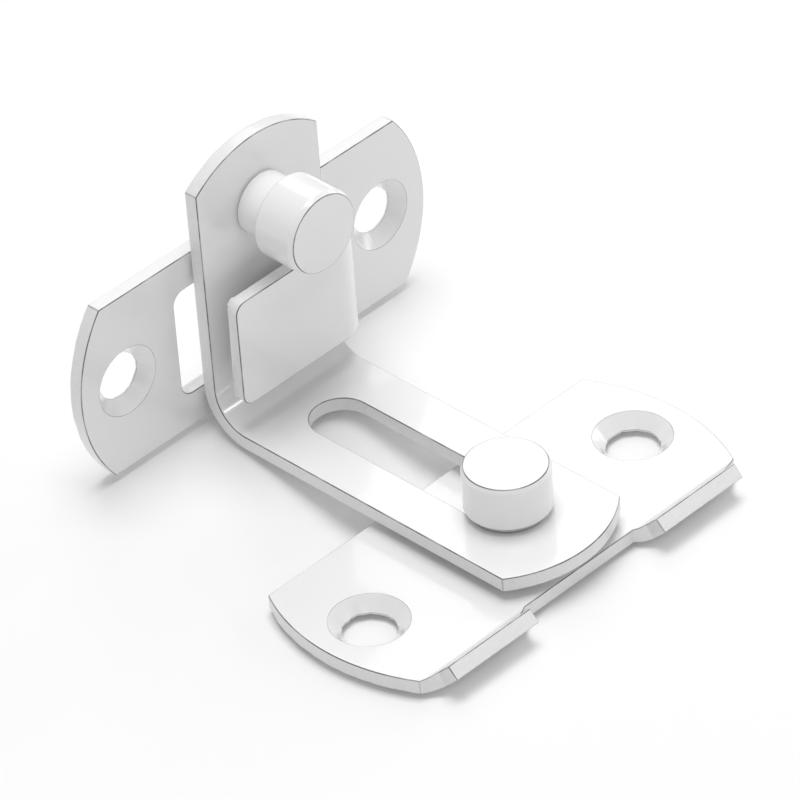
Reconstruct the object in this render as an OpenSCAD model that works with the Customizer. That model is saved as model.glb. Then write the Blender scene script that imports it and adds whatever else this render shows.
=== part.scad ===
// Stair gate latch: a right-angle strap that swivels and slides on a stud, and a hooked keeper.
// Origin: middle of the base plate's back face. +X along the base plate, +Y towards the keeper, +Z up.

/* [Sheet] */
// Thickness of the sheet that all three plates are cut from
sheet_t = 2.0; // [1.5:0.1:2.5]

/* [Base plate] */
// Overall length along X, over the two rounded ends
base_len = 62.5; // [58:0.5:80]
// Width along Y, without the lips
base_depth = 25.6; // [24:0.2:32]
// Radius of the rounded ends
base_end_r = 27; // [20:0.5:40]
// Distance between the two screw holes
base_hole_pitch = 47; // [42:0.5:56]
// Diameter of each screw hole
base_hole_d = 6.8; // [5:0.1:7.2]
// Diameter of each countersink at the front face
base_sink_d = 10.2; // [8.5:0.1:10.8]
// Length of each turned-up lip
lip_len = 14.3; // [8:0.1:15]
// Height of a lip's top edge above the plate's front face
lip_rise = 2.0; // [1.4:0.1:3]
// Inside radius of the lip's bend
lip_bend_r = 1.2; // [0.8:0.1:2]
// Gap on each side between the strap and the end of a lip
lip_side_gap = 0.7; // [0.4:0.1:1.5]

/* [Pivot] */
// Distance of the pivot axis from the middle of the base plate, towards the lips
pivot_offset = 1.25; // [0:0.25:2]
// Diameter of the pivot knob
knob_d = 11.2; // [10:0.2:13]
// Height of the pivot knob
knob_h = 6.2; // [4.5:0.1:10]
// Width of the bevel round the knob's top
knob_bevel = 0.3; // [0.1:0.05:0.5]
// Outside diameter of the fixed steel sleeve
sleeve_d = 6.0; // [5.2:0.1:6.4]
// Diameter of the glide bush's flange, under the strap
flange_d = 10.4; // [9.8:0.1:12]
// Thickness of the flange, which holds the strap off the base plate
flange_t = 1.25; // [0.8:0.05:2]
// Diameter of the retaining washer, over the strap
washer_d = 9.8; // [9.4:0.1:11]
// Thickness of the retaining washer
washer_t = 0.65; // [0.5:0.05:1]
// Thread diameter of the two machine screws
screw_d = 4.0; // [3:0.5:4.5]
// Head diameter of the two machine screws
screw_head_d = 7.0; // [6:0.1:7.2]
// Length of thread inside each knob
thread_len = 4.6; // [3.5:0.1:5]

/* [Latch strap] */
// Width of the strap
strap_w = 21; // [18:0.5:24]
// Radius of the strap's rounded ends
strap_end_r = 16.4; // [14:0.2:24]
// Distance from the pivot axis to the tip of the strap's front end
strap_nose = 12.6; // [11:0.2:13.6]
// Width of the slot
slot_w = 8.0; // [7.4:0.1:9]
// Travel of the strap along its slot
slot_travel = 28.8; // [15:0.1:32]
// Flat length between the end of the slot and the start of the bend
slot_land = 2.4; // [1:0.1:12]
// Inside radius of the right-angle bend
strap_bend_r = 4.8; // [3:0.1:7]
// Height of the upright's crown above the leg's top face
upright_h = 38.2; // [37.5:0.1:50]

/* [Pull knob] */
// Height of the pull knob's axis above the leg's top face
pull_rise = 28.2; // [27.5:0.1:31]
// Diameter of the head
pull_head_d = 11.3; // [10:0.1:12]
// Length of the head
pull_head_len = 6.5; // [5:0.1:9]
// Diameter of the neck
pull_neck_d = 8.4; // [7:0.1:9]
// Length of the neck
pull_neck_len = 4.5; // [3:0.1:7]
// Width of the bevel round the head's face
pull_bevel = 0.35; // [0.1:0.05:0.6]

/* [Keeper] */
// Overall length along X, over the two rounded ends
keeper_len = 60.2; // [58:0.2:80]
// Height of the keeper plate
keeper_h = 25.4; // [24:0.2:30]
// Radius of the rounded ends
keeper_end_r = 20.7; // [17:0.1:40]
// Height of the keeper's lower edge above the leg's bottom face
keeper_lift = 1.55; // [1:0.05:3]
// Distance between the two screw holes
keeper_hole_pitch = 44.6; // [43.6:0.2:56]
// Diameter of each screw hole
keeper_hole_d = 6.2; // [5:0.1:7]
// Diameter of each countersink at the front face
keeper_sink_d = 9.6; // [8:0.1:10]
// Height of the window that the tab is cut from
window_h = 15.7; // [12:0.1:16.5]
// Radius of the window's free corners
window_corner_r = 1.8; // [1:0.1:3]
// Length of window left open past the tab's free edge
window_bare = 3.4; // [2:0.1:5]
// Radius of the tab's free corners
tab_corner_r = 1.6; // [0.8:0.1:3]
// How far short of the strap's edge the tab stops
tab_inset = 0.3; // [0:0.1:3]
// Inside radius of the bend that turns the tab back along X
tab_bend_r = 3.0; // [2:0.1:3.4]
// Inside radius of the bend at the tab's root
tab_root_r = 2.0; // [1:0.1:2.2]

/* [Clearances] */
// Radial clearance of a running fit
run_gap = 0.05; // [0.02:0.01:0.1]
// Axial play on each side of the glide bush
stack_gap = 0.05; // [0.03:0.01:0.15]
// Gap between the strap's top face and the retaining washer
washer_gap = 0.2; // [0.1:0.05:0.4]
// Gap between the upright's back and the keeper plate
keeper_back_gap = 0.5; // [0.4:0.1:2]
// Gap between the upright's front and the tab
keeper_front_gap = 3.0; // [0.6:0.1:4]
// Gap between the strap's edge and the tab's root
keeper_side_gap = 0.4; // [0.3:0.1:1]
// Gap between the sides of the window and the tab
lance_gap = 0.1; // [0.05:0.05:0.3]
// Radial gap between a machine screw and what it screws into
thread_gap = 0.02; // [0.01:0.01:0.05]
// Radial gap between a machine screw and a hole that it passes through
through_gap = 0.1; // [0.05:0.05:0.2]

/* [Hidden] */
$fn = 96;
cut = 1;
seam = 0.5;

// Heights of the stack on the pivot
base_top = sheet_t;
flange_bottom = base_top + stack_gap;
flange_top = flange_bottom + flange_t;
strap_bottom = flange_top + stack_gap;
strap_top = strap_bottom + sheet_t;
sleeve_top = strap_top + washer_gap;
knob_bottom = sleeve_top + washer_t;
knob_top = knob_bottom + knob_h;

// Places along Y
pivot_y = -pivot_offset;
base_front = -base_depth / 2;
nose_y = pivot_y - strap_nose;
bend_start = pivot_y + slot_travel + slot_w / 2 + slot_land;
upright_front = bend_start + strap_bend_r;
upright_back = upright_front + sheet_t;
keeper_front = upright_back + keeper_back_gap;
keeper_back = keeper_front + sheet_t;
tab_back = upright_front - keeper_front_gap;
tab_front = tab_back - sheet_t;

// Places along Z
bend_top = strap_top + strap_bend_r;
upright_top = strap_top + upright_h;
pull_z = strap_top + pull_rise;
keeper_bottom = strap_bottom + keeper_lift;
keeper_z = keeper_bottom + keeper_h / 2;

// Places along X
lip_start = strap_w / 2 + lip_side_gap;
tab_side = strap_w / 2 + keeper_side_gap;
tab_side_out = tab_side + sheet_t;
tab_edge = -strap_w / 2 + tab_inset;
window_edge = tab_edge - window_bare;
root_x = tab_side_out + tab_root_r;

lip_bend_rise = lip_bend_r * (1 - cos(45));
lip_flat = (lip_rise - lip_bend_rise) / sin(45);
head_cone = (screw_head_d - screw_d) / 2;
slot_r = slot_w / 2;
bush_r = slot_r - run_gap;
bush_bore_r = sleeve_d / 2 + run_gap;
screw_r = screw_d / 2;
tab_h = window_h - 2 * lance_gap;

// Depth of a rounded end of radius r across a plate of width w
function sagitta(r, w) = r - sqrt(r * r - w * w / 4);

// One rounded end: its tip on the origin, the plate running towards -X
module round_end(w, r) {
  intersection() {
    translate([-r, 0]) circle(r, $fn = 240);
    translate([-sagitta(r, w) - seam, -w / 2]) square([sagitta(r, w) + seam + cut, w]);
  }
}

// Plate outline with both ends rounded, centred on the origin
module plate_outline(len, w, r) {
  square([len - 2 * sagitta(r, w), w], center = true);
  for (side = [0, 180]) rotate(side) translate([len / 2, 0]) round_end(w, r);
}

// Straight slot along Y from the origin
module slot_outline(travel, r) {
  circle(r);
  translate([-r, 0]) square([2 * r, travel]);
  translate([0, travel]) circle(r);
}

// Bend in sheet: a ring from angle a1 to angle a2, at most 90 degrees apart
module bend_outline(r, a1, a2) {
  far = 2 * (r + sheet_t);
  intersection() {
    difference() {
      circle(r + sheet_t);
      circle(r);
    }
    polygon([[0, 0], far * [cos(a1), sin(a1)], far * [cos((a1 + a2) / 2), sin((a1 + a2) / 2)], far * [cos(a2), sin(a2)]]);
  }
}

// Rectangle from the origin to [len, h] with both corners at x = 0 rounded
module left_rounded(len, h, r) {
  translate([r, 0]) square([len - r, h]);
  translate([0, r]) square([2 * r, h - 2 * r]);
  for (y = [r, h - r]) translate([r, y]) circle(r);
}

// Screw hole with a 90 degree countersink, opening at z = 0 and running towards -Z
module sunk_hole(hole_d, sink_d) {
  sink_depth = (sink_d - hole_d) / 2;
  translate([0, 0, -sheet_t - cut]) cylinder(h = sheet_t + 2 * cut, d = hole_d);
  translate([0, 0, -sink_depth]) cylinder(h = sink_depth, d1 = hole_d, d2 = sink_d);
  cylinder(h = cut, d = sink_d);
}

// Flush hole for a machine screw's head and shank, head at z = 0 and shank towards +Z
module head_seat() {
  gap = thread_gap;
  translate([0, 0, -cut]) cylinder(h = cut, r = screw_head_d / 2 + gap);
  cylinder(h = head_cone, r1 = screw_head_d / 2 + gap, r2 = screw_r + gap);
  translate([0, 0, -cut]) cylinder(h = sheet_t + 2 * cut, r = screw_r + through_gap);
}

// Countersunk machine screw, its head's face at z = 0 and its thread towards +Z
module machine_screw(len) {
  socket_d = 2.9;
  socket_depth = 1.3;
  tip = 0.4;
  difference() {
    union() {
      cylinder(h = head_cone, r1 = screw_head_d / 2, r2 = screw_r);
      cylinder(h = len - tip, r = screw_r);
      translate([0, 0, len - tip]) cylinder(h = tip, r1 = screw_r, r2 = screw_r - tip);
    }
    translate([0, 0, -cut]) cylinder(h = socket_depth + cut, d = socket_d, $fn = 6);
  }
}

// One lip along X, from x = 0, turned up at 45 degrees from the plate's front edge
module lip() {
  rotate([90, 0, 90]) linear_extrude(lip_len)
    translate([base_front, base_top + lip_bend_r]) rotate(-45) {
      bend_outline(lip_bend_r, 270, 315);
      translate([-lip_flat, -lip_bend_r - sheet_t]) square([lip_flat, sheet_t]);
    }
}

module base_plate() {
  color("whitesmoke") difference() {
    union() {
      linear_extrude(sheet_t) plate_outline(base_len, base_depth, base_end_r);
      translate([lip_start, 0, 0]) lip();
      translate([-lip_start - lip_len, 0, 0]) lip();
    }
    for (side = [-1, 1])
      translate([side * base_hole_pitch / 2, 0, base_top]) sunk_hole(base_hole_d, base_sink_d);
    translate([0, pivot_y, 0]) head_seat();
  }
}

module pivot_screw() {
  color("silver") translate([0, pivot_y, 0]) machine_screw(knob_bottom + thread_len);
}

module pivot_sleeve() {
  color("silver") translate([0, pivot_y, base_top]) difference() {
    cylinder(h = sleeve_top - base_top, d = sleeve_d);
    translate([0, 0, -cut]) cylinder(h = sleeve_top - base_top + 2 * cut, r = screw_r + through_gap);
  }
}

module retaining_washer() {
  color("silver") translate([0, pivot_y, sleeve_top]) difference() {
    cylinder(h = washer_t, d = washer_d);
    translate([0, 0, -cut]) cylinder(h = washer_t + 2 * cut, r = screw_r + through_gap);
  }
}

module pivot_knob() {
  rim = 0.25;
  top_slope = 0.6;
  bore_end = 0.4;
  color("whitesmoke") translate([0, pivot_y, knob_bottom]) difference() {
    union() {
      cylinder(h = rim, r1 = knob_d / 2 - rim, r2 = knob_d / 2);
      translate([0, 0, rim]) cylinder(h = knob_h - rim - top_slope, d = knob_d);
      translate([0, 0, knob_h - top_slope])
        cylinder(h = top_slope, r1 = knob_d / 2, r2 = knob_d / 2 - knob_bevel);
    }
    translate([0, 0, -cut]) cylinder(h = thread_len + bore_end + cut, r = screw_r + thread_gap);
  }
}

module glide_bush() {
  color("ivory") translate([0, pivot_y, flange_bottom]) difference() {
    union() {
      cylinder(h = flange_t, d = flange_d);
      cylinder(h = sleeve_top - 2 * stack_gap - flange_bottom, r = bush_r);
    }
    translate([0, 0, -cut]) cylinder(h = sleeve_top, r = bush_bore_r);
  }
}

module latch_strap() {
  leg_flat = bend_start - nose_y - sagitta(strap_end_r, strap_w);
  upright_flat = upright_top - bend_top - sagitta(strap_end_r, strap_w);
  color("whitesmoke") union() {
    translate([0, 0, strap_bottom]) linear_extrude(sheet_t) difference() {
      union() {
        translate([-strap_w / 2, bend_start - leg_flat]) square([strap_w, leg_flat]);
        translate([0, nose_y]) rotate(-90) round_end(strap_w, strap_end_r);
      }
      translate([0, pivot_y]) slot_outline(slot_travel, slot_r);
    }
    translate([-strap_w / 2, bend_start, bend_top]) rotate([90, 0, 90])
      linear_extrude(strap_w) bend_outline(strap_bend_r, 270, 360);
    difference() {
      translate([0, upright_back, 0]) rotate([90, 0, 0]) linear_extrude(sheet_t) {
        translate([-strap_w / 2, bend_top]) square([strap_w, upright_flat]);
        translate([0, upright_top]) rotate(90) round_end(strap_w, strap_end_r);
      }
      translate([0, upright_back, pull_z]) rotate([90, 0, 0]) head_seat();
    }
  }
}

module pull_knob() {
  groove_t = 0.25;
  groove_d = pull_neck_d - 0.7;
  rim = 0.2;
  face_slope = 0.7;
  bore_end = 0.4;
  neck_end = pull_neck_len;
  head_end = pull_neck_len + pull_head_len;
  color("whitesmoke") translate([0, upright_front, pull_z]) rotate([90, 0, 0]) difference() {
    union() {
      cylinder(h = groove_t, d = groove_d);
      translate([0, 0, groove_t]) cylinder(h = neck_end - groove_t, d = pull_neck_d);
      translate([0, 0, neck_end]) cylinder(h = rim, r1 = pull_head_d / 2 - rim, r2 = pull_head_d / 2);
      translate([0, 0, neck_end + rim]) cylinder(h = pull_head_len - rim - face_slope, d = pull_head_d);
      translate([0, 0, head_end - face_slope])
        cylinder(h = face_slope, r1 = pull_head_d / 2, r2 = pull_head_d / 2 - pull_bevel);
    }
    translate([0, 0, -cut]) cylinder(h = thread_len + bore_end + cut, r = screw_r + thread_gap);
  }
}

module pull_screw() {
  color("silver") translate([0, upright_back, pull_z]) rotate([90, 0, 0])
    machine_screw(sheet_t + thread_len);
}

// Cross-section of the tab in the XY plane, from its root at the plate to its free edge
module tab_section() {
  translate([root_x, keeper_front - tab_root_r]) bend_outline(tab_root_r, 90, 180);
  translate([tab_side, tab_back + tab_bend_r])
    square([sheet_t, keeper_front - tab_root_r - tab_back - tab_bend_r]);
  translate([tab_side - tab_bend_r, tab_back + tab_bend_r]) bend_outline(tab_bend_r, 270, 360);
  translate([tab_edge, tab_front]) square([tab_side - tab_bend_r - tab_edge, sheet_t]);
}

module keeper_plate() {
  window_len = root_x - window_edge;
  color("whitesmoke") union() {
    difference() {
      translate([0, keeper_back, keeper_z]) rotate([90, 0, 0])
        linear_extrude(sheet_t) plate_outline(keeper_len, keeper_h, keeper_end_r);
      translate([window_edge, keeper_back + cut, keeper_z - window_h / 2]) rotate([90, 0, 0])
        linear_extrude(sheet_t + 2 * cut) left_rounded(window_len, window_h, window_corner_r);
      for (side = [-1, 1])
        translate([side * keeper_hole_pitch / 2, keeper_front, keeper_z]) rotate([90, 0, 0])
          sunk_hole(keeper_hole_d, keeper_sink_d);
    }
    intersection() {
      translate([0, 0, keeper_z - tab_h / 2]) linear_extrude(tab_h) tab_section();
      translate([tab_edge, keeper_back + cut, keeper_z - tab_h / 2]) rotate([90, 0, 0])
        linear_extrude(keeper_back - tab_front + 2 * cut)
          left_rounded(root_x - tab_edge, tab_h, tab_corner_r);
    }
  }
}

base_plate();
pivot_screw();
pivot_sleeve();
retaining_washer();
pivot_knob();
glide_bush();
latch_strap();
pull_knob();
pull_screw();
keeper_plate();
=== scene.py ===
from math import asin, atan2, cos, pi, radians, sin, tan

import bmesh
import bpy
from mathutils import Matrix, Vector, noise


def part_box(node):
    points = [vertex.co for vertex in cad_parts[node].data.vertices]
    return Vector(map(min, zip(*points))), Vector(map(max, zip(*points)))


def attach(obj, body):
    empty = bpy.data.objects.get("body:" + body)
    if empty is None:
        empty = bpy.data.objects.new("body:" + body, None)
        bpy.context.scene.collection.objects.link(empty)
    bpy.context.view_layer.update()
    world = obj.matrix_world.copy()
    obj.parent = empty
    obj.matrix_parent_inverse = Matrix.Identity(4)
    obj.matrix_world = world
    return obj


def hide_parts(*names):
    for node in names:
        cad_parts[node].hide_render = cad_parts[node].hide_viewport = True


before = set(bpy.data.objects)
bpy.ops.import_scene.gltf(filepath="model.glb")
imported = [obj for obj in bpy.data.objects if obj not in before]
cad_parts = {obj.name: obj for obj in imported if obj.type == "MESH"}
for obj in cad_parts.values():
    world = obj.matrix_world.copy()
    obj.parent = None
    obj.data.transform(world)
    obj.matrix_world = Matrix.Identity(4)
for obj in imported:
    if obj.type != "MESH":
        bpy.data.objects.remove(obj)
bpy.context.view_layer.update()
print("frame loaded:", len(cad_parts), "nodes")

# Sizes below are in millimetres. Meshes are made in metres, where the CAD nodes lie.
metre = 0.001


def nodeBox(node):
    low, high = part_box(node)
    return low / metre, high / metre


def nodeCentre(node):
    low, high = nodeBox(node)
    return (Vector(low) + Vector(high)) / 2


def filletPath(points, closed=False, steps=4):
    # points are (x, y, radius, line); a corner with a radius becomes a short arc, and
    # line is how dark the painted shade line along the corner gets, strongest halfway round the arc
    result = []
    count = len(points)
    for i, point in enumerate(points):
        x, y, radius = point[:3]
        line = point[3] if len(point) > 3 else 0
        atEnd = not closed and i in (0, count - 1)
        if atEnd or radius <= 0:
            result.append((x, y, line))
            continue
        here = Vector((x, y))
        toLast = Vector(points[i - 1][:2]) - here
        toNext = Vector(points[(i + 1) % count][:2]) - here
        lastLength, nextLength = toLast.length, toNext.length
        toLast.normalize()
        toNext.normalize()
        opening = toLast.angle(toNext)
        if opening > pi - 0.02:
            result.append((x, y, line))
            continue
        reach = min(radius / tan(opening / 2), 0.48 * lastLength, 0.48 * nextLength)
        trueRadius = reach * tan(opening / 2)
        centre = here + (toLast + toNext).normalized() * trueRadius / sin(opening / 2)
        start = here + toLast * reach - centre
        end = here + toNext * reach - centre
        startAngle = atan2(start.y, start.x)
        sweep = atan2(start.x * end.y - start.y * end.x, start.dot(end))
        for k in range(steps + 1):
            angle = startAngle + sweep * k / steps
            result.append((centre.x + trueRadius * cos(angle), centre.y + trueRadius * sin(angle),
                           line * min(1, 1.5 - 1.5 * abs(2 * k / steps - 1))))
    return result


def outlinePoints(points, steps=4):
    return filletPath(points, closed=True, steps=steps)


def arcPoints(centreX, centreY, radius, startAngle, endAngle, count):
    return [
        (centreX + radius * cos(startAngle + (endAngle - startAngle) * k / count),
         centreY + radius * sin(startAngle + (endAngle - startAngle) * k / count), 0)
        for k in range(count + 1)
    ]


def holePoints(centreX, centreY, radius, count):
    # clockwise, so the sheet lies to the left of the path
    return [
        (centreX + radius * cos(-2 * pi * k / count), centreY + radius * sin(-2 * pi * k / count), 0)
        for k in range(count)
    ]


def insetDirections(points):
    directions = []
    count = len(points)
    for i in range(count):
        here = Vector(points[i][:2])
        before = (here - Vector(points[i - 1][:2])).normalized()
        after = (Vector(points[(i + 1) % count][:2]) - here).normalized()
        leftBefore = Vector((-before.y, before.x))
        leftAfter = Vector((-after.y, after.x))
        directions.append((leftBefore + leftAfter) / max(0.3, 1 + leftBefore.dot(leftAfter)))
    return directions


def finishMesh(bm, name, material, body, node):
    bmesh.ops.remove_doubles(bm, verts=bm.verts, dist=0.0005)
    bmesh.ops.recalc_face_normals(bm, faces=bm.faces)
    bmesh.ops.scale(bm, vec=(metre, metre, metre), verts=bm.verts)
    mesh = bpy.data.meshes.new(name)
    bm.to_mesh(mesh)
    bm.free()
    for face in mesh.polygons:
        face.use_smooth = True
    piece = bpy.data.objects.new(name, mesh)
    bpy.context.collection.objects.link(piece)
    mesh.materials.append(material)
    even = piece.modifiers.new("evenNormals", "WEIGHTED_NORMAL")
    even.mode = "FACE_AREA"
    even.weight = 60
    even.keep_sharp = True
    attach(piece, body)
    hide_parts(node)
    return piece


tearHeight = 1.2    # torn edges are clean above this height in the sheet


def sheetBlank(loops):
    # loops are (points, edge profile, how far it tears); a profile runs from the back face to the front
    bm = bmesh.new()
    # each vertex carries how dark the painted shade line along its corner is, and whether it lies on the cut
    # face
    edgeShadeLayer = bm.verts.layers.float.new("paintedEdgeShade")
    cutLayer = bm.verts.layers.float.new("cutFace")
    backEdges, frontEdges = [], []
    for points, profile, ragged in loops:
        inward = insetDirections(points)
        count = len(points)
        rings = []
        for inset, height, line, cut in profile:
            ring = []
            for (x, y, corner), direction in zip(points, inward):
                # sheared edges tear a little towards the back
                spot = Vector((x, y, height * 0.4))
                tear = max(0, 0.2 + noise.noise(spot * 0.8) + noise.noise(spot * 2.3))
                reach = inset + ragged * tear * max(0, 1 - height / tearHeight)
                vert = bm.verts.new((x + direction.x * reach, y + direction.y * reach, height))
                vert[edgeShadeLayer] = max(line, corner if cut > 0.5 else 0)
                vert[cutLayer] = cut
                ring.append(vert)
            rings.append(ring)
        for lower, upper in zip(rings, rings[1:]):
            for i in range(count):
                j = (i + 1) % count
                bm.faces.new((lower[i], lower[j], upper[j], upper[i]))
        for ring, edges in ((rings[0], backEdges), (rings[-1], frontEdges)):
            edges += [bm.edges.get((ring[i], ring[(i + 1) % count])) for i in range(count)]
    bmesh.ops.triangle_fill(bm, use_beauty=True, edges=backEdges)
    bmesh.ops.triangle_fill(bm, use_beauty=True, edges=frontEdges)
    return bm


def cutAcross(bm, direction, places, inside=None):
    for place in places:
        if inside is None:
            faces = list(bm.faces)
        else:
            faces = [face for face in bm.faces if all(inside(vert.co) for vert in face.verts)]
        edges = list({edge for face in faces for edge in face.edges})
        verts = list({vert for face in faces for vert in face.verts})
        bmesh.ops.bisect_plane(
            bm, geom=verts + edges + faces, dist=0.0001,
            plane_co=Vector(direction) * place, plane_no=direction)


def spread(start, end, count):
    return [start + (end - start) * k / count for k in range(count + 1)]


def cutProfile(sheet, frontRadius, backRadius):
    # plain sheet edge: a broken back corner, the sheared face and a crisp front corner, with painted shade
    # lines along both corners
    backEdgeShade, margin = 0.3, 2.1
    path = filletPath([
        (backRadius * margin, 0, 0), (0, 0, backRadius, backEdgeShade), (0, sheet, frontRadius, 1.0),
        (frontRadius * margin, sheet, 0)])
    shear = (0, 0, 0.4, 0.8, 1, 1, 1, 0.8, 0.4, 0, 0, 0)
    rows = [(inset, height, line, cut) for (inset, height, line), cut in zip(path, shear)]
    middle = [(0, sheet * share, 0, 1) for share in (0.3, 0.6)]
    return rows[:6] + middle + rows[6:]


def sinkProfile(sheet, holeRadius, sinkRadius):
    # 90 degree countersink from the front face, softened where the paint runs over it, with painted shade
    # lines at its corners
    depth = sinkRadius - holeRadius
    path = filletPath([
        (0.35, 0, 0), (0, 0, 0.12, 0.4), (0, sheet - depth, 0.1, 0.75),
        (depth, sheet, 0.12, 0.8), (depth + 0.4, sheet, 0)])
    shear = (0, 0, 0.4, 0.8, 1, 1, 1, 0.5, 0, 0, 0) + (0,) * 6
    return [(inset, height, line, cut) for (inset, height, line), cut in zip(path, shear)]


def seatProfile(sheet, holeRadius, headRadius, headDepth):
    # flush screw seat from the back face, with painted shade lines at its corners
    path = filletPath([
        (headRadius - holeRadius + 0.5, 0, 0), (headRadius - holeRadius, 0, 0.12, 0.7),
        (0, headDepth, 0.1, 0.3), (0, sheet, 0.08, 0.3), (0.4, sheet, 0)])
    return [(inset, height, line, 0) for inset, height, line in path]


def turnedPart(profile, origin, axis, segments=112, closed=False):
    # profile points are (radius, height, fillet, line, hexagonal), line being a painted shade line at that
    # corner; height runs along the axis
    shape = filletPath([point[:4] for point in profile], closed=closed)
    hexRings = {(round(p[0], 4), round(p[1], 4)) for p in profile if len(p) > 4}
    along = Vector(axis)
    across = Vector((1, 0, 0))
    third = along.cross(across)
    bm = bmesh.new()
    edgeShadeLayer = bm.verts.layers.float.new("paintedEdgeShade")
    rings = []
    for radius, height, line in shape:
        base = Vector(origin) + along * height
        if radius < 1e-6:
            rings.append([bm.verts.new(base)])
            continue
        hexagonal = (round(radius, 4), round(height, 4)) in hexRings
        ring = []
        for k in range(segments):
            angle = 2 * pi * k / segments
            reach = radius
            if hexagonal:
                reach *= cos(pi / 6) / cos(angle % (pi / 3) - pi / 6)
            vert = bm.verts.new(base + across * cos(angle) * reach + third * sin(angle) * reach)
            vert[edgeShadeLayer] = line
            ring.append(vert)
        rings.append(ring)
    pairs = list(zip(rings, rings[1:]))
    if closed:
        pairs.append((rings[-1], rings[0]))
    for lower, upper in pairs:
        for k in range(segments):
            n = (k + 1) % segments
            if len(lower) == 1:
                bm.faces.new((lower[0], upper[k], upper[n]))
            elif len(upper) == 1:
                bm.faces.new((lower[k], lower[n], upper[0]))
            else:
                bm.faces.new((lower[k], lower[n], upper[n], upper[k]))
    return bm


def newGroup(name, inputs, outputs):
    group = bpy.data.node_groups.new(name, "ShaderNodeTree")
    for label, kind, value in inputs:
        socket = group.interface.new_socket(label, in_out="INPUT", socket_type=kind)
        socket.default_value = value
    for label, kind in outputs:
        group.interface.new_socket(label, in_out="OUTPUT", socket_type=kind)
    return group


def addNode(tree, kind, place, **values):
    node = tree.nodes.new(kind)
    node.location = place
    for key, value in values.items():
        setattr(node, key, value)
    return node


def mathNode(tree, operation, first, second, place, clamp=False):
    node = addNode(tree, "ShaderNodeMath", place, operation=operation, use_clamp=clamp)
    for socket, value in zip(node.inputs, (first, second)):
        if hasattr(value, "is_output"):
            tree.links.new(value, socket)
        else:
            socket.default_value = value
    return node.outputs[0]


def makeSprayGroup():
    # the faint orange peel of a sprayed and baked coat
    group = newGroup("sprayTexture", [
        ("Vector", "NodeSocketVector", (0, 0, 0)),
        ("Peel Size", "NodeSocketFloat", 700.0),
        ("Fine Size", "NodeSocketFloat", 2600.0),
        ("Fine Share", "NodeSocketFloat", 0.25)],
        [("Height", "NodeSocketFloat"), ("Tone", "NodeSocketFloat")])
    start = addNode(group, "NodeGroupInput", (-800, 0))
    end = addNode(group, "NodeGroupOutput", (600, 0))
    peel = addNode(group, "ShaderNodeTexNoise", (-500, 200))
    peel.inputs["Detail"].default_value = 2.0
    peel.inputs["Roughness"].default_value = 0.4
    fine = addNode(group, "ShaderNodeTexNoise", (-500, -100))
    fine.inputs["Detail"].default_value = 3.0
    cloud = addNode(group, "ShaderNodeTexNoise", (-500, -400))
    cloud.inputs["Scale"].default_value = 90.0
    cloud.inputs["Detail"].default_value = 2.0
    for node in (peel, fine, cloud):
        group.links.new(start.outputs["Vector"], node.inputs["Vector"])
    group.links.new(start.outputs["Peel Size"], peel.inputs["Scale"])
    group.links.new(start.outputs["Fine Size"], fine.inputs["Scale"])
    fineHeight = mathNode(group, "MULTIPLY", fine.outputs["Fac"], start.outputs["Fine Share"], (-200, -100))
    height = mathNode(group, "ADD", peel.outputs["Fac"], fineHeight, (0, 100))
    group.links.new(height, end.inputs["Height"])
    group.links.new(cloud.outputs["Fac"], end.inputs["Tone"])
    return group


def makeEdgeGroup():
    # painted dark shade lines along sheared corners, broken into patches, and the shear's grain on the cut
    # face
    group = newGroup("cutEdgeGrainAndPaintedShade", [
        ("Vector", "NodeSocketVector", (0, 0, 0)),
        ("Line", "NodeSocketFloat", 0.0),
        ("Cut", "NodeSocketFloat", 0.0),
        ("Line Depth", "NodeSocketFloat", 0.3),
        ("Face Depth", "NodeSocketFloat", 0.1),
        ("Grain", "NodeSocketFloat", 0.5)],
        [("Shade", "NodeSocketFloat"), ("Rough", "NodeSocketFloat"), ("Height", "NodeSocketFloat")])
    start = addNode(group, "NodeGroupInput", (-1000, 0))
    end = addNode(group, "NodeGroupOutput", (900, 0))
    grain = addNode(group, "ShaderNodeTexNoise", (-700, 250))
    grain.inputs["Scale"].default_value = 1900.0
    grain.inputs["Detail"].default_value = 4.0
    patchy = addNode(group, "ShaderNodeTexNoise", (-700, -50))
    patchy.inputs["Scale"].default_value = 330.0
    patchy.inputs["Detail"].default_value = 3.0
    for node in (grain, patchy):
        group.links.new(start.outputs["Vector"], node.inputs["Vector"])
    broken = addNode(group, "ShaderNodeMapRange", (-300, -50))
    broken.inputs["From Min"].default_value = 0.30
    broken.inputs["From Max"].default_value = 0.55
    broken.inputs["To Min"].default_value = 0.55
    group.links.new(patchy.outputs["Fac"], broken.inputs["Value"])
    # the painted shade line along the corners, darkening the colour
    line = mathNode(group, "MULTIPLY", start.outputs["Line"], broken.outputs["Result"], (0, -150))
    paintedLineShade = mathNode(group, "MULTIPLY", line, start.outputs["Line Depth"], (250, -150))
    grainFace = mathNode(group, "MULTIPLY", grain.outputs["Fac"], start.outputs["Cut"], (0, 250))
    faceShade = mathNode(group, "MULTIPLY", grainFace, start.outputs["Face Depth"], (250, 50))
    total = mathNode(group, "ADD", paintedLineShade, faceShade, (450, -50))
    group.links.new(mathNode(group, "SUBTRACT", 1.0, total, (650, -50), True), end.inputs["Shade"])
    group.links.new(mathNode(group, "MULTIPLY", start.outputs["Cut"], 0.2, (450, -350)), end.inputs["Rough"])
    grainHeight = mathNode(group, "MULTIPLY", grainFace, start.outputs["Grain"], (450, 250))
    group.links.new(grainHeight, end.inputs["Height"])
    return group


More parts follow.
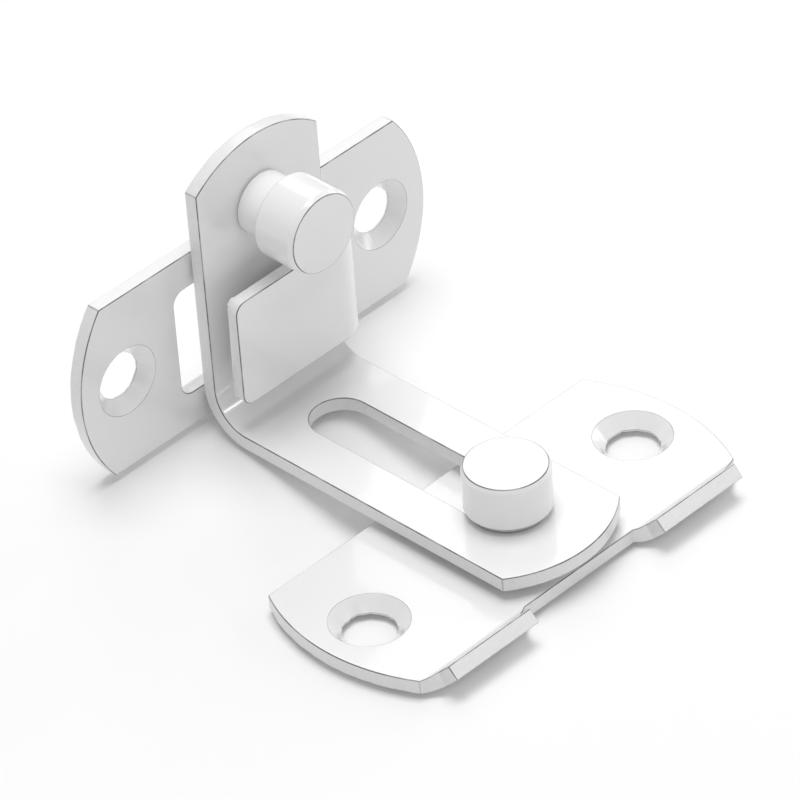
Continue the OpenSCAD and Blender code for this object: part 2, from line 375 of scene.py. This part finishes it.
def makeWearGroup():
    # handling marks: dull smears and a few hairline scuffs
    group = newGroup("handlingMarks", [
        ("Vector", "NodeSocketVector", (0, 0, 0)),
        ("Smear", "NodeSocketFloat", 0.08),
        ("Scuff", "NodeSocketFloat", 0.1)],
        [("Rough", "NodeSocketFloat"), ("Shade", "NodeSocketFloat")])
    start = addNode(group, "NodeGroupInput", (-1000, 0))
    end = addNode(group, "NodeGroupOutput", (600, 0))
    smear = addNode(group, "ShaderNodeTexNoise", (-700, 200))
    smear.inputs["Scale"].default_value = 130.0
    smear.inputs["Detail"].default_value = 5.0
    smear.inputs["Roughness"].default_value = 0.6
    group.links.new(start.outputs["Vector"], smear.inputs["Vector"])
    stretch = addNode(group, "ShaderNodeMapping", (-900, -200))
    stretch.inputs["Rotation"].default_value = (0.3, 0.5, 0.7)
    stretch.inputs["Scale"].default_value = (60.0, 1500.0, 900.0)
    group.links.new(start.outputs["Vector"], stretch.inputs["Vector"])
    scuff = addNode(group, "ShaderNodeTexNoise", (-700, -200))
    scuff.inputs["Scale"].default_value = 1.0
    scuff.inputs["Detail"].default_value = 1.0
    group.links.new(stretch.outputs["Vector"], scuff.inputs["Vector"])
    sharp = addNode(group, "ShaderNodeMapRange", (-450, -200))
    sharp.inputs["From Min"].default_value = 0.70
    sharp.inputs["From Max"].default_value = 0.78
    group.links.new(scuff.outputs["Fac"], sharp.inputs["Value"])
    smearPart = mathNode(group, "MULTIPLY", smear.outputs["Fac"], start.outputs["Smear"], (-200, 200))
    scuffPart = mathNode(group, "MULTIPLY", sharp.outputs["Result"], start.outputs["Scuff"], (-200, -200))
    group.links.new(mathNode(group, "ADD", smearPart, scuffPart, (100, 100)), end.inputs["Rough"])
    dark = mathNode(group, "MULTIPLY", scuffPart, 0.25, (0, -200))
    group.links.new(mathNode(group, "SUBTRACT", 1.0, dark, (250, -100), True), end.inputs["Shade"])
    return group


sprayGroup = makeSprayGroup()
edgeGroup = makeEdgeGroup()
wearGroup = makeWearGroup()


def placeGroup(tree, group, place, vector, **values):
    node = addNode(tree, "ShaderNodeGroup", place)
    node.node_tree = group
    for key, value in values.items():
        node.inputs[key.replace("_", " ")].default_value = value
    tree.links.new(vector, node.inputs["Vector"])
    return node


def startMaterial(name):
    material = bpy.data.materials.new(name)
    material.use_nodes = True
    tree = material.node_tree
    tree.nodes.clear()
    output = addNode(tree, "ShaderNodeOutputMaterial", (900, 0))
    shader = addNode(tree, "ShaderNodeBsdfPrincipled", (600, 0))
    tree.links.new(shader.outputs[0], output.inputs["Surface"])
    coords = addNode(tree, "ShaderNodeTexCoord", (-1200, 0)).outputs["Object"]
    return material, tree, shader, coords


def mixTone(tree, factor, first, second):
    tone = addNode(tree, "ShaderNodeMix", (-500, 300), data_type="RGBA")
    tone.inputs["A"].default_value = (*first, 1)
    tone.inputs["B"].default_value = (*second, 1)
    tree.links.new(factor, tone.inputs["Factor"])
    return tone.outputs["Result"]


def setBump(tree, shader, height, depth):
    bump = addNode(tree, "ShaderNodeBump", (100, -500))
    bump.inputs["Distance"].default_value = depth
    tree.links.new(height, bump.inputs["Height"])
    tree.links.new(bump.outputs["Normal"], shader.inputs["Normal"])


def setRoughness(tree, shader, rough, least):
    tree.links.new(mathNode(tree, "ADD", rough, least, (-200, -250)), shader.inputs["Roughness"])


def paintMaterial(name, paint):
    # white powder coat: colour, cut edges with painted shade lines along the corners, handling marks and
    # orange peel
    material, tree, shader, coords = startMaterial(name)
    spray = placeGroup(tree, sprayGroup, (-900, 250), coords, Peel_Size=paint["peelSize"],
                       Fine_Size=paint["fineSize"])
    edge = placeGroup(tree, edgeGroup, (-900, -50), coords, Line_Depth=paint["edgeShadeDepth"],
                      Face_Depth=paint["faceDepth"], Grain=paint["grain"])
    wear = placeGroup(tree, wearGroup, (-900, -400), coords, Smear=paint["smear"], Scuff=paint["scuff"])
    # how dark the painted shade line along each corner is
    line = addNode(tree, "ShaderNodeAttribute", (-1150, -150), attribute_name="paintedEdgeShade")
    tree.links.new(line.outputs["Fac"], edge.inputs["Line"])
    cut = addNode(tree, "ShaderNodeAttribute", (-1150, -350), attribute_name="cutFace")
    tree.links.new(cut.outputs["Fac"], edge.inputs["Cut"])
    tone = mixTone(tree, spray.outputs["Tone"], paint["shadeColour"], paint["colour"])
    shade = mathNode(tree, "MULTIPLY", edge.outputs["Shade"], wear.outputs["Shade"], (-500, 0))
    dim = addNode(tree, "ShaderNodeVectorMath", (-200, 200), operation="SCALE")
    tree.links.new(tone, dim.inputs[0])
    tree.links.new(shade, dim.inputs["Scale"])
    tree.links.new(dim.outputs[0], shader.inputs["Base Color"])
    rough = mathNode(tree, "ADD", wear.outputs["Rough"], edge.outputs["Rough"], (-500, -250))
    setRoughness(tree, shader, rough, paint["roughness"])
    height = mathNode(tree, "ADD", spray.outputs["Height"], edge.outputs["Height"], (-200, -500))
    setBump(tree, shader, height, paint["peelDepth"])
    shader.inputs["Specular IOR Level"].default_value = 0.5
    shader.inputs["Coat Weight"].default_value = paint["gloss"]
    shader.inputs["Coat Roughness"].default_value = paint["coatRoughness"]
    return material


# the edge shade depth sets how dark the painted shade lines along the corners get
platePaint = {
    "colour": (0.86, 0.86, 0.86), "shadeColour": (0.83, 0.83, 0.832),
    "roughness": 0.18, "gloss": 0.6, "coatRoughness": 0.04,
    "peelSize": 420.0, "fineSize": 2600.0, "peelDepth": 0.000009,
    "edgeShadeDepth": 0.95, "faceDepth": 0.13, "grain": 1.2, "smear": 0.06, "scuff": 0.03}
knobPaint = {
    "colour": (0.87, 0.87, 0.868), "shadeColour": (0.845, 0.845, 0.845),
    "roughness": 0.18, "gloss": 0.6, "coatRoughness": 0.04,
    "peelSize": 520.0, "fineSize": 3000.0, "peelDepth": 0.000007,
    "edgeShadeDepth": 0.95, "faceDepth": 0.1, "grain": 0.5, "smear": 0.06, "scuff": 0.04}
plateMaterial = paintMaterial("platePaint", platePaint)
knobMaterial = paintMaterial("knobPaint", knobPaint)


def steelMaterial(name, steel):
    # bright zinc with the lathe's fine rings and a cloudy passivated tone
    material, tree, shader, coords = startMaterial(name)
    wear = placeGroup(tree, wearGroup, (-900, -400), coords, Smear=steel["smear"], Scuff=steel["scuff"])
    spray = placeGroup(tree, sprayGroup, (-900, 250), coords, Peel_Size=steel["peelSize"],
                       Fine_Size=steel["fineSize"])
    rings = addNode(tree, "ShaderNodeTexWave", (-900, 0), wave_type="RINGS", rings_direction=steel["axis"])
    rings.inputs["Scale"].default_value = steel["ringSize"]
    rings.inputs["Distortion"].default_value = 1.5
    rings.inputs["Detail"].default_value = 3.0
    move = addNode(tree, "ShaderNodeMapping", (-1050, 0))
    move.inputs["Location"].default_value = steel["centre"]
    tree.links.new(coords, move.inputs["Vector"])
    tree.links.new(move.outputs["Vector"], rings.inputs["Vector"])
    tone = mixTone(tree, spray.outputs["Tone"], steel["shadeColour"], steel["colour"])
    tree.links.new(tone, shader.inputs["Base Color"])
    setRoughness(tree, shader, wear.outputs["Rough"], steel["roughness"])
    ringHeight = mathNode(tree, "MULTIPLY", rings.outputs["Fac"], steel["ringShare"], (-500, -100))
    height = mathNode(tree, "ADD", spray.outputs["Height"], ringHeight, (-200, -500))
    setBump(tree, shader, height, steel["ringDepth"])
    shader.inputs["Metallic"].default_value = 1.0
    return material


def nylonMaterial(name, nylon):
    # matt moulded surface with a fine grain
    material, tree, shader, coords = startMaterial(name)
    spray = placeGroup(tree, sprayGroup, (-900, 250), coords, Peel_Size=nylon["peelSize"],
                       Fine_Size=nylon["fineSize"], Fine_Share=nylon["fineShare"])
    wear = placeGroup(tree, wearGroup, (-900, -400), coords, Smear=nylon["smear"], Scuff=nylon["scuff"])
    tone = mixTone(tree, spray.outputs["Tone"], nylon["shadeColour"], nylon["colour"])
    tree.links.new(tone, shader.inputs["Base Color"])
    setRoughness(tree, shader, wear.outputs["Rough"], nylon["roughness"])
    setBump(tree, shader, spray.outputs["Height"], nylon["grainDepth"])
    return material


pivotAt = nodeCentre("pivot_knob")
pullAt = nodeCentre("pull_knob")
zinc = {
    "colour": (0.78, 0.79, 0.80), "shadeColour": (0.66, 0.68, 0.70), "roughness": 0.22,
    "peelSize": 900.0, "fineSize": 5000.0, "ringSize": 900.0, "ringShare": 0.8, "ringDepth": 0.000006,
    "smear": 0.15, "scuff": 0.2}
pivotCentre = (-pivotAt.x * metre, -pivotAt.y * metre, 0)
pullCentre = (-pullAt.x * metre, 0, -pullAt.z * metre)
pivotSteel = steelMaterial("pivotSteel", dict(zinc, axis="Z", centre=pivotCentre))
pullSteel = steelMaterial("pullSteel", dict(zinc, axis="Y", centre=pullCentre))
nylon = {
    "colour": (0.84, 0.83, 0.79), "shadeColour": (0.78, 0.77, 0.72), "roughness": 0.42,
    "peelSize": 1200.0, "fineSize": 6000.0, "fineShare": 0.8, "grainDepth": 0.000010,
    "smear": 0.12, "scuff": 0.25}
bushNylon = nylonMaterial("bushNylon", nylon)
print("materials made")


holeSides, seatSides, arcSteps = 144, 48, 28
seat = {"holeRadius": 2.1, "headRadius": 3.52, "headDepth": 1.42}   # for both machine screws

base = {
    "sheet": 2.0, "endRadius": 27.0, "holeSpacing": 47.0, "holeRadius": 3.4, "sinkRadius": 5.1,
    "lipStart": 11.2, "lipEnd": 25.5, "lipBendRadius": 1.2, "flare": 1.5,
    "cornerRadius": 0.38, "frontRadius": 0.15, "backRadius": 0.12, "ragged": 0.12, "holeRagged": 0.2}


def screwSeat(centreX, centreY, sheet):
    points = holePoints(centreX, centreY, seat["holeRadius"], seatSides)
    return points, seatProfile(sheet, seat["holeRadius"], seat["headRadius"], seat["headDepth"]), 0


def plateHoles(plate):
    # the two countersunk wood screw holes of a plate
    loops = []
    for side in (-1, 1):
        hole = holePoints(side * plate["holeSpacing"] / 2, 0, plate["holeRadius"], holeSides)
        profile = sinkProfile(plate["sheet"], plate["holeRadius"], plate["sinkRadius"])
        loops.append((hole, profile, plate["holeRagged"]))
    return loops


def cutLoop(points, plate, ragged):
    return points, cutProfile(plate["sheet"], plate["frontRadius"], plate["backRadius"]), ragged


def roundEnd(centreX, centreY, plate, startAngle, endAngle, line):
    # the rounded end of a plate, with its two corners slightly broken and a painted shade line at each
    arc = arcPoints(centreX, centreY, plate["endRadius"], startAngle, endAngle, arcSteps)
    arc[0] = (*arc[0][:2], plate["cornerRadius"], line)
    arc[-1] = (*arc[-1][:2], plate["cornerRadius"], line)
    return arc


def makeBasePlate():
    low, high = nodeBox("base_plate")
    sheet = base["sheet"]
    half = high.y
    arcX = high.x - base["endRadius"]
    swing = asin(half / base["endRadius"])
    bendRadius = base["lipBendRadius"]
    bendLength = (bendRadius + sheet / 2) * pi / 4
    lipReach = ((-half - (bendRadius + sheet) * sin(pi / 4)) - low.y) / cos(pi / 4)
    lipY = -half - bendLength - lipReach

    inner, outerX, flare = base["lipStart"], base["lipEnd"], base["flare"]
    outline = roundEnd(arcX, 0, base, -swing, swing, 0.5)
    outline += roundEnd(-arcX, 0, base, pi - swing, pi + swing, 0.5)
    # the fourth values are painted shade lines along the corners, darkest at the lips
    outline += [
        (-outerX, -half - flare, 0.2), (-outerX, lipY, 0.15, 0.9),
        (-inner, lipY, 0.15, 0.9), (-inner, -half - flare, 0.2),
        (-inner + flare, -half, 0.4), (inner - flare, -half, 0.4),
        (inner, -half - flare, 0.2), (inner, lipY, 0.15, 0.9),
        (outerX, lipY, 0.15, 0.9), (outerX, -half - flare, 0.2)]
    loops = [cutLoop(outlinePoints(outline), base, base["ragged"])] + plateHoles(base)
    loops.append(screwSeat(0, pivotAt.y, sheet))
    bm = sheetBlank(loops)
    cutAcross(bm, (0, 1, 0), spread(-half - bendLength, -half, 10))
    centreZ = sheet + bendRadius
    for vert in bm.verts:
        run = -half - vert.co.y
        if run <= 0:
            continue
        radius = centreZ - vert.co.z
        angle = min(run / bendLength, 1) * pi / 4
        beyond = max(run - bendLength, 0)
        vert.co.y = -half - radius * sin(angle) - beyond * cos(angle)
        vert.co.z = centreZ - radius * cos(angle) + beyond * sin(angle)
    return finishMesh(bm, "basePlate", plateMaterial, "base", "base_plate")


makeBasePlate()
print("base plate made")


strap = {
    "endRadius": 16.4, "bendRadius": 4.8, "slotRadius": 4.0, "slotTravel": 28.8, "sheet": 2.0,
    "cornerRadius": 0.38, "frontRadius": 0.15, "backRadius": 0.14, "ragged": 0.08}


def makeStrap():
    low, high = nodeBox("latch_strap")
    sheet = strap["sheet"]
    half = high.x
    bendStart = high.y - strap["bendRadius"] - sheet
    bendZ = low.z + sheet + strap["bendRadius"]
    bendLength = (strap["bendRadius"] + sheet / 2) * pi / 2
    unfold = bendStart + bendLength - bendZ     # adds to a height on the upright
    crown = unfold + high.z
    swing = asin(half / strap["endRadius"])
    nose = roundEnd(0, low.y + strap["endRadius"], strap, -pi / 2 - swing, -pi / 2 + swing, 0.4)
    top = roundEnd(0, crown - strap["endRadius"], strap, pi / 2 - swing, pi / 2 + swing, 0.4)
    radius = strap["slotRadius"]
    farY = pivotAt.y + strap["slotTravel"]
    slot = arcPoints(0, farY, radius, pi, 0, 32) + arcPoints(0, pivotAt.y, radius, 0, -pi, 32)
    bm = sheetBlank([
        cutLoop(outlinePoints(nose + top), strap, strap["ragged"]),
        cutLoop(slot, strap, strap["ragged"]),
        screwSeat(0, unfold + pullAt.z, sheet)])
    for vert in bm.verts:
        vert.co.z += low.z
    cutAcross(bm, (0, 1, 0), spread(bendStart, bendStart + bendLength, 26))
    for vert in bm.verts:
        run = vert.co.y - bendStart
        if run <= 0:
            continue
        reach = bendZ - vert.co.z
        angle = min(run / bendLength, 1) * pi / 2
        beyond = max(run - bendLength, 0)
        vert.co.y = bendStart + reach * sin(angle)
        vert.co.z = bendZ - reach * cos(angle) + beyond
    return finishMesh(bm, "latchStrap", plateMaterial, "strap", "latch_strap")


makeStrap()
print("strap made")


keeper = {
    "endRadius": 20.7, "sheet": 2.0, "holeSpacing": 44.6, "holeRadius": 3.1, "sinkRadius": 4.8,
    "windowHeight": 15.7, "windowEdge": -13.6, "windowCorner": 1.8, "rootX": 14.9,
    "tabHeight": 15.5, "tabEdge": -10.2, "tabCorner": 1.6, "rootRadius": 2.0, "bendRadius": 3.0,
    "tabRightSide": 12.9, "cornerRadius": 0.38, "frontRadius": 0.15, "backRadius": 0.12,
    "ragged": 0.1, "tabRagged": 0.5, "holeRagged": 0.12,
    "rootRun": 3.4, "bendRun": 4.6}     # lengths that the two bends take up in the flat blank


def makeKeeper():
    low, high = nodeBox("keeper_plate")
    sheet = keeper["sheet"]
    midZ = (low.z + high.z) / 2
    back = high.y
    front = back - sheet
    half = high.z - midZ
    arcX = high.x - keeper["endRadius"]
    swing = asin(half / keeper["endRadius"])
    outline = roundEnd(arcX, 0, keeper, -swing, swing, 0.5)
    outline += roundEnd(-arcX, 0, keeper, pi - swing, pi + swing, 0.5)
    tabBack = low.y + sheet
    rootX = keeper["rootX"]
    rootMidY = front - keeper["rootRadius"]
    bendMidX = keeper["tabRightSide"] - sheet - keeper["bendRadius"]
    bendMidY = tabBack + keeper["bendRadius"]
    legRun = rootMidY - bendMidY
    flatRun = bendMidX - keeper["tabEdge"]
    runs = [keeper["rootRun"], legRun, keeper["bendRun"], flatRun]
    tipX = rootX - sum(runs)
    halfWindow = keeper["windowHeight"] / 2
    halfTab = keeper["tabHeight"] / 2
    window = outlinePoints([
        (keeper["windowEdge"], halfWindow, keeper["windowCorner"]),
        (rootX, halfWindow, 0), (rootX, halfTab, 0),
        (tipX, halfTab, keeper["tabCorner"]), (tipX, -halfTab, keeper["tabCorner"]),
        (rootX, -halfTab, 0), (rootX, -halfWindow, 0),
        (keeper["windowEdge"], -halfWindow, keeper["windowCorner"])], steps=10)
    loops = [
        cutLoop(outlinePoints(outline), keeper, keeper["ragged"]),
        cutLoop(window, keeper, keeper["tabRagged"])]
    bm = sheetBlank(loops + plateHoles(keeper))

    def onTab(point):
        return tipX - 0.6 < point.x < rootX + 0.0005 and abs(point.y) < halfTab + 0.02

    rootStart = rootX - runs[0]
    bendStart = rootStart - runs[1]
    bendEnd = bendStart - runs[2]
    cutAcross(bm, (1, 0, 0), [rootX])
    places = spread(rootX, rootStart, 14) + spread(bendStart, bendEnd, 16)
    cutAcross(bm, (1, 0, 0), places[1:], onTab)
    tabVerts = {vert for vert in bm.verts if onTab(vert.co) and vert.co.x < rootX - 0.0005}
    for vert in bm.verts:
        x, y, depth = vert.co
        run = rootX - x
        if vert not in tabVerts:
            vert.co = (x, back - depth, midZ + y)
            continue
        if run <= runs[0]:
            angle = run / runs[0] * pi / 2
            radius = keeper["rootRadius"] + sheet - depth
            place = (rootX - radius * sin(angle), rootMidY + radius * cos(angle))
        elif run <= runs[0] + runs[1]:
            place = (rootX - keeper["rootRadius"] - sheet + depth, rootMidY - (run - runs[0]))
        elif run <= sum(runs[:3]):
            angle = (run - runs[0] - runs[1]) / runs[2] * pi / 2
            radius = keeper["bendRadius"] + depth
            place = (bendMidX + radius * cos(angle), bendMidY - radius * sin(angle))
        else:
            place = (bendMidX - (run - sum(runs[:3])), tabBack - depth)
        vert.co = (place[0], place[1], midZ + y)
    return finishMesh(bm, "keeperPlate", plateMaterial, "keeper", "keeper_plate")


makeKeeper()
print("keeper made")


pivotKnob = {
    "radius": 5.6, "boreRadius": 2.02, "boreDepth": 5.0, "rim": 0.25,
    "topSlope": 0.6, "topRadius": 5.3, "soften": 0.22}


def makePivotKnob():
    low, high = nodeBox("pivot_knob")
    height = high.z - low.z
    bore, radius = pivotKnob["boreRadius"], pivotKnob["radius"]
    # the fourth values are painted shade lines at the rims
    profile = [
        (0, pivotKnob["boreDepth"], 0), (bore, pivotKnob["boreDepth"], 0), (bore, 0, 0),
        (radius - pivotKnob["rim"], 0, 0.08), (radius, pivotKnob["rim"], 0.15, 0.5),
        (radius, height - pivotKnob["topSlope"], 0.4),
        (pivotKnob["topRadius"], height, pivotKnob["soften"], 1.0),
        (0, height, 0)]
    bm = turnedPart(profile, (pivotAt.x, pivotAt.y, low.z), (0, 0, 1))
    return finishMesh(bm, "pivotKnob", knobMaterial, "base", "pivot_knob")


pullKnob = {
    "headRadius": 5.65, "neckRadius": 4.2, "neckLength": 4.5, "grooveRadius": 3.85, "groove": 0.25,
    "rim": 0.2, "faceSlope": 0.7, "faceRadius": 5.3, "boreRadius": 2.02, "boreDepth": 5.0}


def makePullKnob():
    low, high = nodeBox("pull_knob")
    length = high.y - low.y
    bore, head, neck = pullKnob["boreRadius"], pullKnob["headRadius"], pullKnob["neckRadius"]
    neckEnd = pullKnob["neckLength"]
    # the fourth values are painted shade lines at the rims
    profile = [
        (0, pullKnob["boreDepth"], 0), (bore, pullKnob["boreDepth"], 0), (bore, 0, 0),
        (pullKnob["grooveRadius"], 0, 0), (pullKnob["grooveRadius"], pullKnob["groove"], 0),
        (neck, pullKnob["groove"], 0.06), (neck, neckEnd, 0.2),
        (head - pullKnob["rim"], neckEnd, 0.1), (head, neckEnd + pullKnob["rim"], 0.14, 0.6),
        (head, length - pullKnob["faceSlope"], 0.45), (pullKnob["faceRadius"], length, 0.2, 1.0),
        (0, length, 0)]
    bm = turnedPart(profile, (pullAt.x, high.y, pullAt.z), (0, -1, 0))
    return finishMesh(bm, "pullKnob", knobMaterial, "strap", "pull_knob")


makePivotKnob()
makePullKnob()
print("knobs made")


screw = {
    "headRadius": 3.5, "headDepth": 1.5, "shankRadius": 2.0, "tip": 0.4,
    "socketRadius": 1.45, "socketDepth": 1.3, "socketRim": 0.12, "socketSlope": 0.07,
    "headRim": 0.12, "headSlope": 0.09}


def makeScrew(name, node, body, origin, axis, length, material):
    head, shank, socket = screw["headRadius"], screw["shankRadius"], screw["socketRadius"]
    profile = [
        (0, screw["socketDepth"], 0), (socket, screw["socketDepth"], 0, 0, True),
        (socket, screw["socketSlope"], 0, 0, True), (socket + screw["socketRim"], 0, 0),
        (head - screw["headRim"], 0, 0), (head, screw["headSlope"], 0.03),
        (shank, screw["headDepth"], 0.1),
        (shank, length - screw["tip"], 0), (shank - screw["tip"], length, 0), (0, length, 0)]
    bm = turnedPart(profile, origin, axis, segments=96)
    return finishMesh(bm, name, material, body, node)


def makeRing(name, node, body, material, profile):
    low = nodeBox(node)[0]
    bm = turnedPart(profile, (pivotAt.x, pivotAt.y, low.z), (0, 0, 1), segments=96, closed=True)
    return finishMesh(bm, name, material, body, node)


def ringProfile(node, ring):
    low, high = nodeBox(node)
    height = high.z - low.z
    bore, outer, soften = ring["bore"], ring["outer"], ring["soften"]
    return [(bore, 0, soften), (outer, 0, soften), (outer, height, soften), (bore, height, soften)]


sleeve = {"bore": 2.1, "outer": 3.0, "soften": 0.08}
washer = {"bore": 2.1, "outer": 4.9, "soften": 0.1}
bush = {"bore": 3.05, "barrel": 3.95, "flange": 5.2, "flangeHeight": 1.25}
bushLow, bushHigh = nodeBox("glide_bush")
bushHeight = bushHigh.z - bushLow.z
bushShape = [
    (bush["bore"], 0, 0.1), (bush["flange"], 0, 0.12), (bush["flange"], bush["flangeHeight"], 0.15),
    (bush["barrel"], bush["flangeHeight"], 0.1), (bush["barrel"], bushHeight, 0.12),
    (bush["bore"], bushHeight, 0.1)]

pivotLow, pivotHigh = nodeBox("pivot_screw")
pullLow, pullHigh = nodeBox("pull_screw")
makeScrew("pivotScrew", "pivot_screw", "base", (pivotAt.x, pivotAt.y, pivotLow.z), (0, 0, 1),
          pivotHigh.z - pivotLow.z, pivotSteel)
makeScrew("pullScrew", "pull_screw", "strap", (pullAt.x, pullHigh.y, pullAt.z), (0, -1, 0),
          pullHigh.y - pullLow.y, pullSteel)
makeRing("pivotSleeve", "pivot_sleeve", "base", pivotSteel,
         ringProfile("pivot_sleeve", sleeve))
makeRing("retainingWasher", "retaining_washer", "base", pivotSteel,
         ringProfile("retaining_washer", washer))
makeRing("glideBush", "glide_bush", "glide", bushNylon, bushShape)
print("small parts made")


stage = {
    "half": 2600.0, "colour": (0.88, 0.88, 0.88), "shadeColour": (0.8712, 0.8712, 0.8712),
    "glow": 0.03, "drop": 0.8,
    # the rise: places along Y and the floor's height there
    "rise": [
        (13.5, 0.0), (18.0, 0.25), (30.0, 2.6), (34.0, 3.2),
        (36.0, 3.45), (41.0, 4.6), (44.0, 4.8), (60.0, 5.0)],
    "riseHalf": 46.0, "riseFade": 60.0, "riseTail": 90.0}


def floorHeight(x, y):
    # the sheet swells gently behind the base plate, where the strap and keeper rest on it
    points = stage["rise"]
    if y <= points[0][0]:
        height = 0.0
    elif y >= points[-1][0]:
        fade = max(0.0, 1 - (y - points[-1][0]) / stage["riseTail"])
        height = points[-1][1] * fade * fade * (3 - 2 * fade)
    else:
        for (y0, h0), (y1, h1) in zip(points, points[1:]):
            if y0 <= y <= y1:
                height = h0 + (h1 - h0) * (y - y0) / (y1 - y0)
                break
    side = min(1.0, max(0.0, (abs(x) - stage["riseHalf"]) / stage["riseFade"]))
    return height * (1 - side * side * (3 - 2 * side))


def makeFloor():
    material, tree, shader, coords = startMaterial("sweepPaper")
    cloud = addNode(tree, "ShaderNodeTexNoise", (-700, 0))
    cloud.inputs["Scale"].default_value = 9.0
    tree.links.new(coords, cloud.inputs["Vector"])
    tone = mixTone(tree, cloud.outputs["Fac"], stage["colour"], stage["shadeColour"])
    tree.links.new(tone, shader.inputs["Base Color"])
    shader.inputs["Roughness"].default_value = 0.9
    shader.inputs["Specular IOR Level"].default_value = 0.1
    shader.inputs["Emission Color"].default_value = (1, 1, 1, 1)
    shader.inputs["Emission Strength"].default_value = stage["glow"]
    # closer rows where the floor rises
    far = [-stage["half"], -600, -250]
    beyond = [-place for place in reversed(far)]
    xs = far + spread(-120, 120, 60) + beyond
    ys = far + spread(-120, 10, 20) + spread(13, 60, 47) + spread(64, 160, 24) + beyond
    bm = bmesh.new()
    grid = []
    for y in ys:
        places = [Vector((x, y, floorHeight(x, y) - stage["drop"])) * metre for x in xs]
        grid.append([bm.verts.new(place) for place in places])
    for lower, upper in zip(grid, grid[1:]):
        for i in range(len(xs) - 1):
            bm.faces.new((lower[i], lower[i + 1], upper[i + 1], upper[i]))
    mesh = bpy.data.meshes.new("floor")
    bm.to_mesh(mesh)
    bm.free()
    for face in mesh.polygons:
        face.use_smooth = True
    mesh.materials.append(material)
    floor = bpy.data.objects.new("floor", mesh)
    bpy.context.collection.objects.link(floor)


makeFloor()

light = {
    "world": 0.43, "distance": 850.0, "aim": (0, 14, 12),
    # each soft box: its bearing round the latch and its height in degrees, its side and its watts
    "boxes": {
        "top": (137, 86, 500.0, 4.4), "back": (137, 42, 400.0, 0.75), "right": (84, 14, 400.0, 1.1),
        "front": (-43, 34, 420.0, 0.35), "strip": (37, 25, 90.0, 0.3)}}    # the strip lights the bend


def makeLights():
    world = bpy.data.worlds.new("studio")
    world.use_nodes = True
    world.node_tree.nodes["Background"].inputs[0].default_value = (1, 1, 1, 1)
    world.node_tree.nodes["Background"].inputs[1].default_value = light["world"]
    bpy.context.scene.world = world
    target = Vector(light["aim"]) * metre
    for name, (bearing, height, side, watts) in light["boxes"].items():
        data = bpy.data.lights.new(name, "AREA")
        data.shape = "SQUARE"
        data.size = side * metre
        data.energy = watts
        bearing, height = radians(bearing), radians(height)
        away = Vector((sin(bearing) * cos(height), -cos(bearing) * cos(height), sin(height)))
        lamp = bpy.data.objects.new(name, data)
        lamp.location = target + away * light["distance"] * metre
        lamp.rotation_mode = "QUATERNION"
        lamp.rotation_quaternion = (-away).to_track_quat("-Z", "Y")
        bpy.context.collection.objects.link(lamp)


makeLights()

camera = {
    "azimuth": -43.166, "elevation": 37.240, "roll": 4.533, "distance": 885.88,
    "target": (-1.65, 14.82, 15.26), "lens": 325.57}


def makeCamera():
    data = bpy.data.cameras.new("camera")
    data.lens = camera["lens"]
    data.sensor_width = 36.0
    data.clip_start = 0.01
    data.clip_end = 20.0
    azimuth, elevation, roll = (radians(camera[key]) for key in ("azimuth", "elevation", "roll"))
    back = Vector((sin(azimuth) * cos(elevation), -cos(azimuth) * cos(elevation), sin(elevation)))
    level = (-back).cross(Vector((0, 0, 1))).normalized()
    upright = level.cross(-back)
    right = level * cos(roll) - upright * sin(roll)
    up = upright * cos(roll) + level * sin(roll)
    eye = bpy.data.objects.new("camera", data)
    turn = eye.matrix_world.to_3x3()
    for column, axis in enumerate((right, up, back)):
        turn.col[column] = axis
    eye.rotation_mode = "QUATERNION"
    eye.rotation_quaternion = turn.to_quaternion()
    eye.location = (Vector(camera["target"]) + back * camera["distance"]) * metre
    bpy.context.collection.objects.link(eye)
    bpy.context.scene.camera = eye


makeCamera()
bpy.context.scene.view_settings.view_transform = "Standard"
print("floor, light and camera set")

bpy.context.view_layer.update()
